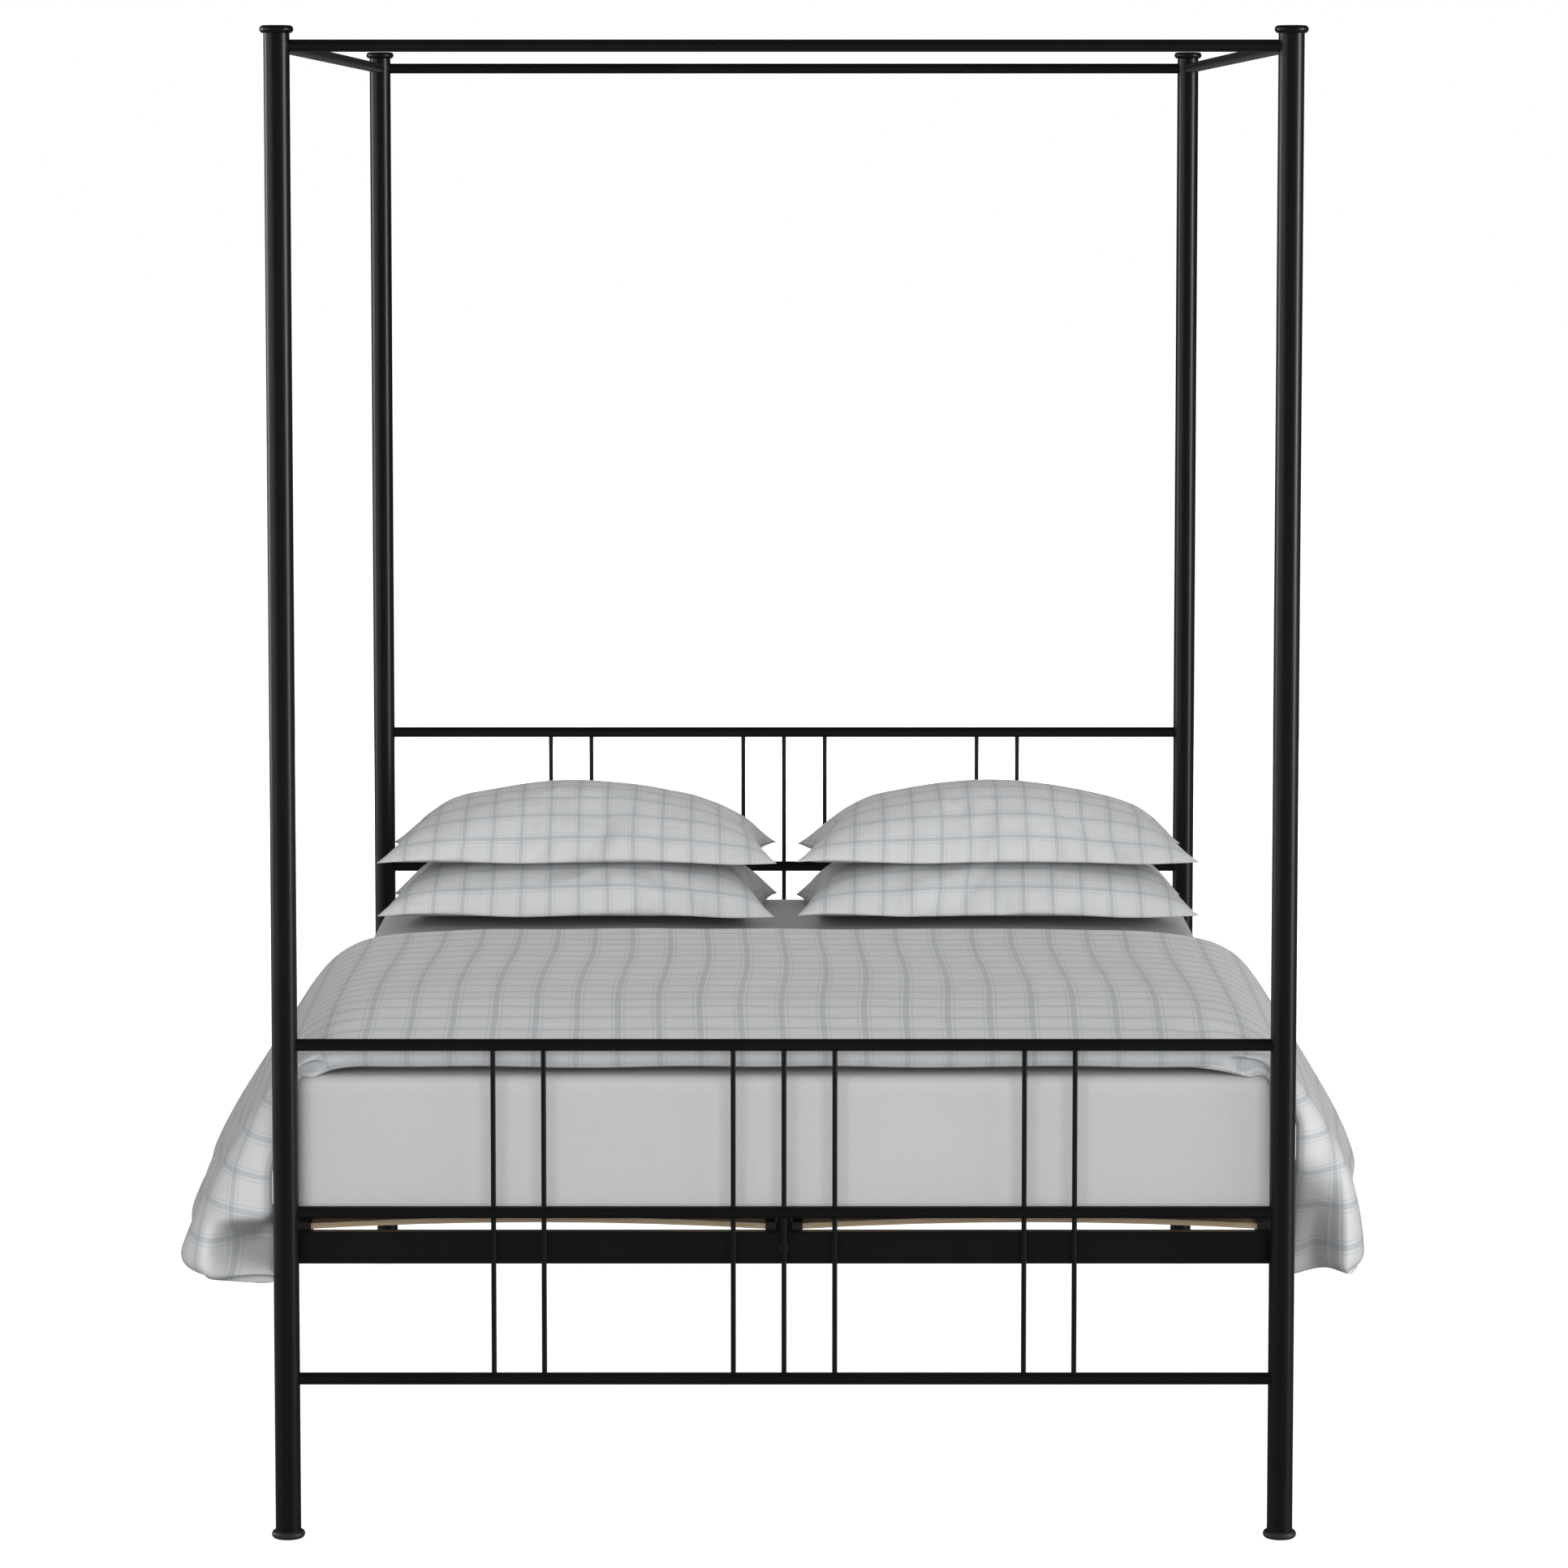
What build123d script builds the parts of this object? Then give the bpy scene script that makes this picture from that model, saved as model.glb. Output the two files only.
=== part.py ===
from build123d import *
import os

os.makedirs("parts", exist_ok=True)

# A four poster canopy bed for a 1524 x 2032 mm mattress, in millimetres.
# +Z is up, the head of the bed is towards +Y, and the origin is on the floor at the bed's centre.

# Driving dimensions: frame
POST_X = 775.0  # post axes, left and right of the centre
POST_Y = 1055.0  # post axes, towards foot and head
POST_D = 40.0
POST_WALL = 1.5
OVERALL_HEIGHT = 2351.0
BEAD_D = 52.0  # finial and foot beads
BEAD_H = 12.0
BEAD_EDGE_R = 5.9
SPIGOT_LENGTH = 10.0
RAIL_D = 19.0  # round rails of the canopy, footboard and headboard
RAIL_WALL = 1.2
CANOPY_RAIL_Z = 2320.0
FOOTBOARD_RAIL_Z = (778.0, 515.0, 252.0)
HEADBOARD_RAIL_Z = (1040.0, 778.0, 515.0, 252.0)
SPINDLE_D = 8.0
SPINDLE_X = (-452.0, -373.5, -79.0, 0.0, 79.0, 373.5, 452.0)
SPINDLE_SEAT = 1.0  # a spindle stops this far inside the outer rails' walls
STUD_D = 8.0  # canopy rails push onto studs that are screwed through the posts' walls
STUD_OUTSIDE = 35.0
STUD_CROSSING_GAP = 0.4  # between two studs that meet in a post
SLEEVE_LENGTH = 40.0
COPE_GAP = 0.02  # a coped tube end stands this far off the tube that it meets
HOLE_GAP = 0.05  # radial gap of a pin, bolt or spindle in its hole

# Driving dimensions: bed base
BOX_W = 25.0  # rectangular tube of the side, end and centre rails
BOX_H = 50.0
BOX_WALL = 1.5
BOX_EDGE_R = 2.5
BOX_BOTTOM_Z = 427.0
END_RAIL_Y = 1012.5  # middle of the end rails, just inside the posts
TONGUE = (5.0, 60.0, 38.0)  # plate on each post that the side rail slides over
TONGUE_BOLT_INSET = 20.0  # from the tongue's end
TONGUE_BOLT_EDGE = 14.0  # from the rail's top and bottom
TONGUE_BOLT_DEPTH = 6.0  # past the rail's middle
BRACKET_LEG = 34.0
BRACKET_THICKNESS = 3.0
BRACKET_RISE = (6.0, 36.0)  # bottom and top above the rail's bottom
BRACKET_BOLT_INSET = 20.0
BRACKET_BOLT_LENGTH = 10.0
CENTRE_BOLT_LENGTH = 30.0  # inside the centre rail
PLUG_LENGTH = 36.0
PLUG_INSET = 0.5
M6_D = 6.0
M8_D = 8.0
BOLT_HEAD_HEIGHT = 3.5
BOLT_HEAD_RATIO = 1.75  # head diameter over shank diameter
SLAT_COUNT = 14
SLAT_WIDTH = 60.0
SLAT_THICKNESS = 8.5
SLAT_BOW = 11.0
SLAT_END_Z = 475.0  # underside of a slat at its ends
SLAT_FIELD_Y = 990.0  # the slats fill the bed's length as far as this
HOLDER_HEIGHT = 22.0
HOLDER_OUTER_DEPTH = 20.5
HOLDER_CENTRE_DEPTH = 16.5
HOLDER_SIDE_WALL = 3.5
HOLDER_EDGE_R = 2.0
HOLDER_TOP_TRIM = 1.0
SLAT_INSERTION = 12.0
POCKET_END_GAP = 1.0
POCKET_SIDE_GAP = 0.3
POCKET_BELOW = 0.2
POCKET_ABOVE = 1.5

# Driving dimensions: bedding
BODY_GAP = 0.3  # between one lift-off piece and the next
MATTRESS = (1524.0, 2032.0, 224.0)
MATTRESS_BOTTOM_Z = 496.5
MATTRESS_EDGE_R = 45.0
SHEET_THICKNESS = 0.8
SHEET_BOTTOM_Z = 545.0
PILLOW = (748.0, 506.0, 128.0)
PILLOW_EDGE_R = 55.0
PILLOW_X = 386.0
PILLOW_Y = 741.0
DUVET_FOOT_Y = -1024.0
DUVET_HEAD_Y = 45.0
DUVET_TOP_Z = 803.0
DUVET_HEM_Z = 395.0
DUVET_HEM_R = 18.0
DUVET_FACE = ((719, 799), (815, 725), (857, 653), (903, 583), (951, 494), (968, DUVET_HEM_Z))
DUVET_LINING = ((926, DUVET_HEM_Z), (908, 480), (862, 566), (826, 633), (799, 692))
DUVET_LINING_TOP_X = 737.0

BOX_TOP_Z = BOX_BOTTOM_Z + BOX_H
MATTRESS_TOP_Z = MATTRESS_BOTTOM_Z + MATTRESS[2]
POST_R = POST_D / 2
POST_INNER_R = POST_R - POST_WALL
CORNERS = {
    "foot_left": (-POST_X, -POST_Y),
    "foot_right": (POST_X, -POST_Y),
    "head_left": (-POST_X, POST_Y),
    "head_right": (POST_X, POST_Y),
}


def save(name, solids):
    """Write one node: a single solid, or a group of separate solids."""
    solids = solids if isinstance(solids, list) else [solids]
    shape = solids[0] if len(solids) == 1 else Compound(children=solids)
    export_step(shape, f"parts/{name}.step")


def rod(start, end, diameter):
    """A round bar from one point to another."""
    start, end = Vector(*start), Vector(*end)
    run = end - start
    plane = Plane(origin=start, z_dir=run)
    return extrude(plane * Circle(diameter / 2), run.length)


def block(low, high):
    """A box between two opposite corners."""
    size = [h - l for l, h in zip(low, high)]
    middle = [(h + l) / 2 for l, h in zip(low, high)]
    return Pos(*middle) * Box(*size)


def mirrored_pairs(shapes, plane):
    """The shapes and their mirror images, as one list."""
    return shapes + [shape.mirror(plane) for shape in shapes]


def post_cutter(x, y):
    """The space of a post, a hair larger, to cope the tubes that meet it."""
    return rod((x, y, 0), (x, y, OVERALL_HEIGHT), POST_D + 2 * COPE_GAP)


def coped_rail(start, end):
    """A round rail between two post axes, hollow, with both ends coped to the posts."""
    tube = rod(start, end, RAIL_D) - rod(start, end, RAIL_D - 2 * RAIL_WALL)
    return tube - post_cutter(start[0], start[1]) - post_cutter(end[0], end[1])


def bead(x, y, low_z, spigot_z):
    """A round-edged disc, 12 mm thick, with a spigot that plugs the end of a post."""
    edge = BEAD_H / 2
    disc = Pos(x, y, low_z + edge) * Cylinder(BEAD_D / 2, BEAD_H)
    disc = fillet(disc.edges().filter_by(GeomType.CIRCLE), BEAD_EDGE_R)
    low, high = sorted((spigot_z, low_z + edge))
    return disc + rod((x, y, low), (x, y, high), 2 * (POST_INNER_R - HOLE_GAP))


def bolt_along_x(x_head, x_end, y, z, diameter=M8_D):
    """A round-headed bolt whose head is on the outer side, at x_head."""
    way = 1 if x_end > x_head else -1
    head = rod((x_head, y, z), (x_head - way * BOLT_HEAD_HEIGHT, y, z), diameter * BOLT_HEAD_RATIO)
    return head + rod((x_head, y, z), (x_end, y, z), diameter)


def bolt_along_y(y_head, y_end, x, z, diameter=M8_D):
    """A round-headed bolt along Y with its head at y_head."""
    way = 1 if y_end > y_head else -1
    head = rod((x, y_head, z), (x, y_head - way * BOLT_HEAD_HEIGHT, z), diameter * BOLT_HEAD_RATIO)
    return head + rod((x, y_head, z), (x, y_end, z), diameter)


# Bolt places, shared by the bolts and by their holes
TONGUE_END_Y = POST_Y - POST_R - TONGUE[1]
TONGUE_BOLT_Y = TONGUE_END_Y + TONGUE_BOLT_INSET
TONGUE_BOLT_Z = (BOX_BOTTOM_Z + TONGUE_BOLT_EDGE, BOX_TOP_Z - TONGUE_BOLT_EDGE)
TONGUE_BOLT_TIP_X = POST_X - TONGUE_BOLT_DEPTH
BOX_MIDDLE_Z = BOX_BOTTOM_Z + BOX_H / 2
END_RAIL_FRONT_Y = END_RAIL_Y + BOX_W / 2
END_RAIL_BACK_Y = END_RAIL_Y - BOX_W / 2
SIDE_RAIL_INNER_X = POST_X - BOX_W / 2
BRACKET_Z = [BOX_BOTTOM_Z + rise for rise in BRACKET_RISE]
BRACKET_BOLT_Z = sum(BRACKET_Z) / 2
BRACKET_BOLT_X = SIDE_RAIL_INNER_X - BRACKET_BOLT_INSET
BRACKET_BOLT_Y = END_RAIL_BACK_Y - BRACKET_BOLT_INSET


def build_posts():
    """Hollow posts, each with holes for the canopy studs."""
    for name, (x, y) in CORNERS.items():
        tube = rod((x, y, BEAD_H), (x, y, OVERALL_HEIGHT - BEAD_H), POST_D)
        tube -= rod((x, y, BEAD_H), (x, y, OVERALL_HEIGHT - BEAD_H), 2 * POST_INNER_R)
        inward = -1 if y > 0 else 1
        for end in ((-x, y), (x, y + inward * POST_D)):
            direction = Vector(end[0] - x, end[1] - y).normalized()
            tip = Vector(x, y, CANOPY_RAIL_Z) + direction * POST_D
            tube -= rod((x, y, CANOPY_RAIL_Z), tuple(tip), STUD_D + 2 * HOLE_GAP)
        save(f"post_{name}", tube)
        top = OVERALL_HEIGHT - BEAD_H
        save(f"top_cap_{name}", bead(x, y, top, top - SPIGOT_LENGTH))
        save(f"bottom_cap_{name}", bead(x, y, 0, BEAD_H + SPIGOT_LENGTH))


def build_canopy():
    """Four canopy rails, with a solid sleeve in each end that takes a stud, and the studs."""
    rails = {
        "canopy_rail_foot": ((-POST_X, -POST_Y), (POST_X, -POST_Y)),
        "canopy_rail_head": ((-POST_X, POST_Y), (POST_X, POST_Y)),
        "canopy_rail_left": ((-POST_X, -POST_Y), (-POST_X, POST_Y)),
        "canopy_rail_right": ((POST_X, -POST_Y), (POST_X, POST_Y)),
    }
    studs = []
    for name, (start, end) in rails.items():
        a, b = Vector(*start, CANOPY_RAIL_Z), Vector(*end, CANOPY_RAIL_Z)
        rail = coped_rail(tuple(a), tuple(b))
        for near, far in ((a, b), (b, a)):
            along = (far - near).normalized()
            face = near + along * (POST_R + COPE_GAP)
            sleeve = rod(tuple(near), tuple(face + along * SLEEVE_LENGTH), RAIL_D - RAIL_WALL)
            sleeve -= post_cutter(near.X, near.Y)
            stud_end = face + along * STUD_OUTSIDE
            rail = rail + sleeve - rod(tuple(near), tuple(stud_end), STUD_D + 2 * HOLE_GAP)
            stud_start = near + along * (STUD_D / 2 + STUD_CROSSING_GAP)
            studs.append(rod(tuple(stud_start), tuple(stud_end), STUD_D))
        save(name, rail)
    save("canopy_studs", studs)


def build_end_panel(name, y, rail_names, rail_heights):
    """A footboard or headboard: level rails, and seven spindles that pass through them."""
    half = RAIL_D / 2
    top_z = rail_heights[0] - half + RAIL_WALL + SPINDLE_SEAT
    bottom_z = rail_heights[-1] + half - RAIL_WALL - SPINDLE_SEAT
    holes = [rod((x, y, bottom_z), (x, y, top_z), SPINDLE_D + 2 * HOLE_GAP) for x in SPINDLE_X]
    for rail_name, z in zip(rail_names, rail_heights):
        rail = coped_rail((-POST_X, y, z), (POST_X, y, z))
        for hole in holes:
            rail -= hole
        save(f"{name}_{rail_name}_rail", rail)
    for number, x in enumerate(SPINDLE_X, 1):
        save(f"{name}_spindle_{number}", rod((x, y, bottom_z), (x, y, top_z), SPINDLE_D))


def box_tube(low, high, along):
    """A rectangular tube with rounded edges, open at the ends of the given axis."""
    outer = block(low, high)
    outer = fillet(outer.edges().filter_by(along), BOX_EDGE_R)
    index = {Axis.X: 0, Axis.Y: 1}[along]
    inner_low = [value + (0 if i == index else BOX_WALL) for i, value in enumerate(low)]
    inner_high = [value - (0 if i == index else BOX_WALL) for i, value in enumerate(high)]
    return outer - block(inner_low, inner_high)


def build_base_rails():
    """Side rails on tongues, end rails on angle brackets, and the centre rail."""
    side = box_tube(
        (SIDE_RAIL_INNER_X, -POST_Y, BOX_BOTTOM_Z), (POST_X + BOX_W / 2, POST_Y, BOX_TOP_Z), Axis.Y
    )
    for y in (-POST_Y, POST_Y):
        side -= post_cutter(POST_X, y)
    tongues, tongue_bolts = [], []
    for sign in (-1, 1):
        tongue = block(
            (POST_X - TONGUE[0] / 2, TONGUE_END_Y, BOX_MIDDLE_Z - TONGUE[2] / 2),
            (POST_X + TONGUE[0] / 2, POST_Y, BOX_MIDDLE_Z + TONGUE[2] / 2),
        )
        tongue -= post_cutter(POST_X, POST_Y)
        if sign < 0:
            tongue = tongue.mirror(Plane.XZ)
        for z in TONGUE_BOLT_Z:
            y = sign * TONGUE_BOLT_Y
            hole = rod((TONGUE_BOLT_TIP_X - 1, y, z), (POST_X + BOX_W, y, z), M8_D + 2 * HOLE_GAP)
            side -= hole
            tongue -= hole
            tongue_bolts.append(bolt_along_x(POST_X + BOX_W / 2, TONGUE_BOLT_TIP_X, y, z))
        tongues.append(tongue)
    brackets, bracket_bolts = [], []
    for sign in (-1, 1):
        corner_y = sign * END_RAIL_BACK_Y
        inward = -sign
        y_pair = sorted((corner_y, corner_y + inward * BRACKET_LEG))
        y_thin = sorted((corner_y, corner_y + inward * BRACKET_THICKNESS))
        leg_on_side = block(
            (SIDE_RAIL_INNER_X - BRACKET_THICKNESS, y_pair[0], BRACKET_Z[0]),
            (SIDE_RAIL_INNER_X, y_pair[1], BRACKET_Z[1]),
        )
        leg_on_end = block(
            (SIDE_RAIL_INNER_X - BRACKET_LEG, y_thin[0], BRACKET_Z[0]),
            (SIDE_RAIL_INNER_X, y_thin[1], BRACKET_Z[1]),
        )
        bracket = leg_on_side + leg_on_end
        y_bolt = sign * BRACKET_BOLT_Y
        hole = rod(
            (SIDE_RAIL_INNER_X - 2 * BRACKET_THICKNESS, y_bolt, BRACKET_BOLT_Z),
            (SIDE_RAIL_INNER_X + BRACKET_BOLT_LENGTH, y_bolt, BRACKET_BOLT_Z),
            M6_D + 2 * HOLE_GAP,
        )
        side -= hole
        bracket -= hole
        x_head = SIDE_RAIL_INNER_X - BRACKET_THICKNESS
        x_tip = x_head + BRACKET_BOLT_LENGTH
        bracket_bolts.append(bolt_along_x(x_head, x_tip, y_bolt, BRACKET_BOLT_Z, M6_D))
        y_head = corner_y + inward * BRACKET_THICKNESS
        y_tip = y_head - inward * BRACKET_BOLT_LENGTH
        hole = rod(
            (BRACKET_BOLT_X, y_head + inward, BRACKET_BOLT_Z), (BRACKET_BOLT_X, y_tip, BRACKET_BOLT_Z),
            M6_D + 2 * HOLE_GAP,
        )
        bracket -= hole
        brackets.append(bracket)
        bracket_bolts.append(bolt_along_y(y_head, y_tip, BRACKET_BOLT_X, BRACKET_BOLT_Z, M6_D))
    save("side_rail_right", side)
    save("side_rail_left", side.mirror(Plane.YZ))
    save("rail_tongues", mirrored_pairs(tongues, Plane.YZ))
    save("side_rail_bolts", mirrored_pairs(tongue_bolts, Plane.YZ))
    save("angle_brackets", mirrored_pairs(brackets, Plane.YZ))
    save("bracket_bolts", mirrored_pairs(bracket_bolts, Plane.YZ))

    inner_x = SIDE_RAIL_INNER_X - COPE_GAP
    end_rail = box_tube(
        (-inner_x, -END_RAIL_FRONT_Y, BOX_BOTTOM_Z), (inner_x, -END_RAIL_BACK_Y, BOX_TOP_Z), Axis.X
    )
    hole_end_y = -END_RAIL_BACK_Y + CENTRE_BOLT_LENGTH
    centre_hole = rod(
        (0, -POST_Y, BOX_MIDDLE_Z), (0, hole_end_y, BOX_MIDDLE_Z), M8_D + 2 * HOLE_GAP
    )
    end_rail -= centre_hole
    for x in (-BRACKET_BOLT_X, BRACKET_BOLT_X):
        end_rail -= rod(
            (x, -END_RAIL_Y, BRACKET_BOLT_Z), (x, -END_RAIL_BACK_Y + BRACKET_BOLT_LENGTH, BRACKET_BOLT_Z),
            M6_D + 2 * HOLE_GAP,
        )
    save("end_rail_foot", end_rail)
    save("end_rail_head", end_rail.mirror(Plane.XZ))

    # The centre rail has a solid threaded plug in each end for the bolt through the end rail.
    centre_end = END_RAIL_BACK_Y - COPE_GAP
    centre = box_tube(
        (-BOX_W / 2, -centre_end, BOX_BOTTOM_Z), (BOX_W / 2, centre_end, BOX_TOP_Z), Axis.Y
    )
    plug = block(
        (-BOX_W / 2 + PLUG_INSET, -centre_end, BOX_BOTTOM_Z + PLUG_INSET),
        (BOX_W / 2 - PLUG_INSET, -centre_end + PLUG_LENGTH, BOX_TOP_Z - PLUG_INSET),
    )
    plug -= centre_hole
    centre = centre + plug + plug.mirror(Plane.XZ)
    save("centre_rail", centre)
    bolt = bolt_along_y(-END_RAIL_FRONT_Y, hole_end_y, 0, BOX_MIDDLE_Z)
    save("centre_rail_bolts", mirrored_pairs([bolt], Plane.XZ))


HOLDER_OUTER_X = POST_X - BOX_W / 2 - HOLDER_OUTER_DEPTH
HOLDER_CENTRE_X = BOX_W / 2 + HOLDER_CENTRE_DEPTH
SLAT_GAP = (2 * SLAT_FIELD_Y - SLAT_COUNT * SLAT_WIDTH) / (SLAT_COUNT - 1)
SLAT_CENTRES = [
    -SLAT_FIELD_Y + SLAT_WIDTH / 2 + i * (SLAT_WIDTH + SLAT_GAP) for i in range(SLAT_COUNT)
]


def slat(y):
    """A sprung slat: a strip of plywood bowed upwards, from the centre holder to the outer one."""
    x0 = HOLDER_CENTRE_X - SLAT_INSERTION
    x1 = HOLDER_OUTER_X + SLAT_INSERTION
    middle = (x0 + x1) / 2
    z0, z1 = SLAT_END_Z, SLAT_END_Z + SLAT_THICKNESS
    outline = Wire(
        [
            Edge.make_three_point_arc((x0, 0, z0), (middle, 0, z0 + SLAT_BOW), (x1, 0, z0)),
            Edge.make_line((x1, 0, z0), (x1, 0, z1)),
            Edge.make_three_point_arc((x1, 0, z1), (middle, 0, z1 + SLAT_BOW), (x0, 0, z1)),
            Edge.make_line((x0, 0, z1), (x0, 0, z0)),
        ]
    )
    strip = extrude(Face(outline), SLAT_WIDTH / 2, dir=(0, 1, 0), both=True)
    return Pos(0, y, 0) * strip


def holder(x_fixed, x_open, y):
    """A plastic holder on a rail's flank, with a pocket that takes the end of a slat."""
    low_x, high_x = sorted((x_fixed, x_open))
    bottom = BOX_TOP_Z - HOLDER_HEIGHT / 2
    top = bottom + HOLDER_HEIGHT - HOLDER_TOP_TRIM
    half = SLAT_WIDTH / 2
    side = half + HOLDER_SIDE_WALL
    body = block((low_x, y - side, bottom), (high_x, y + side, top))
    body = fillet(body.edges().filter_by(Axis.X), HOLDER_EDGE_R)
    reach = SLAT_INSERTION + POCKET_END_GAP
    inner_x = x_open - reach if x_open > x_fixed else x_open + reach
    outer_x = x_open + POCKET_END_GAP if x_open > x_fixed else x_open - POCKET_END_GAP
    pocket_x = sorted((inner_x, outer_x))
    pocket_half = half + POCKET_SIDE_GAP
    pocket = block(
        (pocket_x[0], y - pocket_half, SLAT_END_Z - POCKET_BELOW),
        (pocket_x[1], y + pocket_half, SLAT_END_Z + SLAT_THICKNESS + POCKET_ABOVE),
    )
    return body - pocket


def build_slats():
    """Two columns of slats, with a holder at each slat's ends."""
    slats = [slat(y) for y in SLAT_CENTRES]
    outer = [holder(SIDE_RAIL_INNER_X - COPE_GAP, HOLDER_OUTER_X, y) for y in SLAT_CENTRES]
    centre = [holder(BOX_W / 2 + COPE_GAP, HOLDER_CENTRE_X, y) for y in SLAT_CENTRES]
    save("slats_right", slats)
    save("slats_left", [strip.mirror(Plane.YZ) for strip in slats])
    save("slat_holders_right", outer)
    save("slat_holders_left", [piece.mirror(Plane.YZ) for piece in outer])
    save("slat_holders_centre", mirrored_pairs(centre, Plane.YZ))


def rounded_block(middle, size, radius):
    """A block with every edge rounded."""
    solid = Pos(*middle) * Box(*size)
    return fillet(solid.edges(), radius)


def build_mattress():
    """The mattress, and the fitted sheet over its top and sides."""
    middle = (0, 0, MATTRESS_BOTTOM_Z + MATTRESS[2] / 2)
    inner_size = [value - 2 * SHEET_THICKNESS for value in MATTRESS]
    mattress = rounded_block(middle, inner_size, MATTRESS_EDGE_R)
    save("mattress", mattress)
    gap = 2 * COPE_GAP
    hollow_size = [value + gap for value in inner_size]
    sheet = rounded_block(middle, MATTRESS, MATTRESS_EDGE_R + SHEET_THICKNESS)
    sheet -= rounded_block(middle, hollow_size, MATTRESS_EDGE_R + gap / 2)
    below = block((-MATTRESS[0], -MATTRESS[1], 0), (MATTRESS[0], MATTRESS[1], SHEET_BOTTOM_Z))
    save("fitted_sheet", sheet - below)


def build_duvet():
    """The duvet: flat on the mattress, with two sides that hang down and stand out from the bed."""
    inner_z = MATTRESS_TOP_Z + BODY_GAP
    corners = [(0, DUVET_TOP_Z), *DUVET_FACE, *DUVET_LINING, (DUVET_LINING_TOP_X, inner_z), (0, inner_z)]
    half = Face(Wire.make_polygon([(x, 0, z) for x, z in corners]))
    solid = extrude(half, DUVET_HEAD_Y - DUVET_FOOT_Y, dir=(0, 1, 0))
    hem = [edge for edge in solid.edges().filter_by(Axis.Y) if edge.center().Z < DUVET_HEM_Z + DUVET_HEM_R]
    solid = fillet(hem, DUVET_HEM_R)
    solid = Pos(0, DUVET_FOOT_Y, 0) * solid
    save("duvet", (solid + solid.mirror(Plane.YZ)).clean())


def build_pillows():
    """Two stacks of two pillows."""
    for side, sign in (("left", -1), ("right", 1)):
        bottom = MATTRESS_TOP_Z + BODY_GAP
        for level in ("lower", "upper"):
            middle = (sign * PILLOW_X, PILLOW_Y, bottom + PILLOW[2] / 2)
            save(f"pillow_{level}_{side}", rounded_block(middle, PILLOW, PILLOW_EDGE_R))
            bottom += PILLOW[2] + BODY_GAP


build_posts()
build_canopy()
build_end_panel("footboard", -POST_Y, ("top", "middle", "bottom"), FOOTBOARD_RAIL_Z)
build_end_panel(
    "headboard", POST_Y, ("top", "upper_middle", "lower_middle", "bottom"), HEADBOARD_RAIL_Z
)
build_base_rails()
build_slats()
build_mattress()
build_duvet()
build_pillows()
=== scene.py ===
# %% Load the frame
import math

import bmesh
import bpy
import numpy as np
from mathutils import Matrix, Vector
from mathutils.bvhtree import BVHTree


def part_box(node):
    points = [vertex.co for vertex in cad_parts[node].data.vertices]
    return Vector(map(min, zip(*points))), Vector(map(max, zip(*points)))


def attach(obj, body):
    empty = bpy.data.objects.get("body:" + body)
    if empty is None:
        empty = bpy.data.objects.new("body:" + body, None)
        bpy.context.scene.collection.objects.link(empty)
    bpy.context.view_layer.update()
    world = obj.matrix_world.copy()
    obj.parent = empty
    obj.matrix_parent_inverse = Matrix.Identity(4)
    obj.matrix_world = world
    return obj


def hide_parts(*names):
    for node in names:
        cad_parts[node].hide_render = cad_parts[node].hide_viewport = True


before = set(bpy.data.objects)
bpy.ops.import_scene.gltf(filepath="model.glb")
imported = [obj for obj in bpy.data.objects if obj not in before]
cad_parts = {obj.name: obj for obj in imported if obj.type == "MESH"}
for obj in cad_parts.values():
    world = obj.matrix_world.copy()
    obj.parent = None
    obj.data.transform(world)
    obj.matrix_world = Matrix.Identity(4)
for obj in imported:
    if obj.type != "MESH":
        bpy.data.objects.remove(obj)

# %% [markdown]
# ## A four poster canopy bed, dressed
# The bed is a black steel frame: four slender round posts, thin rails between them, and a canopy of four
# more rails at the top. The steel is already modelled to size in CAD and comes in as the frame, so here it
# only needs its finish. The bedding is soft, so each piece of it is made here as a mesh of its own, inside
# the space that the CAD keeps for it. First the tools that every later cell uses are brought in.

scene = bpy.context.scene
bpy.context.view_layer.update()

# %% [markdown]
# ## Sizes that the bedding takes from the frame
# A mattress fits between the rails, and everything else lies on it, so the bedding starts from the boxes of
# the CAD nodes. Reading them keeps the soft pieces in step with the steel if the CAD changes. The other
# choice, typing the sizes in again, would let the two drift apart.

# %% Read the boxes
mattress_low, mattress_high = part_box("mattress")
duvet_low, duvet_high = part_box("duvet")
HALF_WIDTH = mattress_high[0]
HALF_LENGTH = mattress_high[1]
BED_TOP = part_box("fitted_sheet")[1][2]
CORNER = 0.020  # radius of the made-up mattress's edges
print("mattress half sizes:", round(HALF_WIDTH, 3), round(HALF_LENGTH, 3))
print("top of the sheet:", round(BED_TOP, 4))

# %% [markdown]
# ## Camera
# The bed is seen square on from the foot, from a little above head height and far back, as furniture is
# usually shown in a catalogue. A long lens keeps the posts upright and nearly parallel. Most of the bed is
# below the eye line, so the lens is aimed slightly down and shifted a little, which keeps the posts plumb.

# %% Place the camera
CAMERA_BACK = -9.292
CAMERA_HEIGHT = 2.1494
CAMERA_TILT = 5.0
CAMERA_LENS = 123.17
CAMERA_SHIFT = -0.10

camera = bpy.data.objects.new("camera", bpy.data.cameras.new("camera"))
scene.collection.objects.link(camera)
camera.location = (0, CAMERA_BACK, CAMERA_HEIGHT)
camera.rotation_euler = (math.radians(90 - CAMERA_TILT), 0, 0)
camera.data.lens = CAMERA_LENS
camera.data.sensor_width = 36
camera.data.shift_y = CAMERA_SHIFT
scene.camera = camera
scene.view_settings.view_transform = "Standard"
print("camera at", tuple(round(c, 2) for c in camera.location))

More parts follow.
